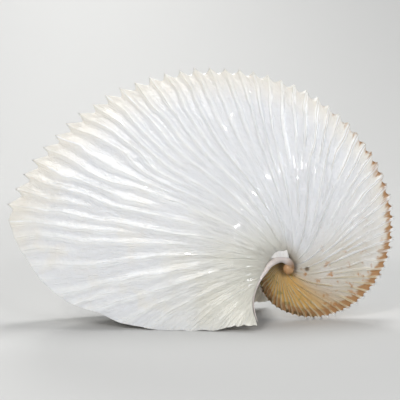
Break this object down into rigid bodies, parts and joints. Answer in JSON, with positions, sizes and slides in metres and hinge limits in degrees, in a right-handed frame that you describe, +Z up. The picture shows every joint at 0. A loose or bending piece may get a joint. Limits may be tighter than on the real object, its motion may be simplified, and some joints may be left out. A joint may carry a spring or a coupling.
{
  "type": "paper nautilus shell",
  "caption": "Whole paper nautilus egg case: a thin, flat-sided, coiled white shell with sweeping ribs, a narrow keel edged with nodules and an open mouth underneath.",
  "frame": {"origin": "middle of the shell's length and width, on the surface that it stands on", "axes": "+X from the open lips towards the coil, +Y along the coil axis, +Z up; the shell is the same on both sides of the XZ plane"},
  "size_m": [0.1828, 0.0482, 0.1188],
  "materials": {
    "calcite": "thin, slightly translucent calcite with a porcelain-like gloss, white on the flanks, stained tan to orange brown on the coil and along its keel"
  },
  "bodies": {
    "root": {"shell": "calcite"}
  },
  "joints": []
}
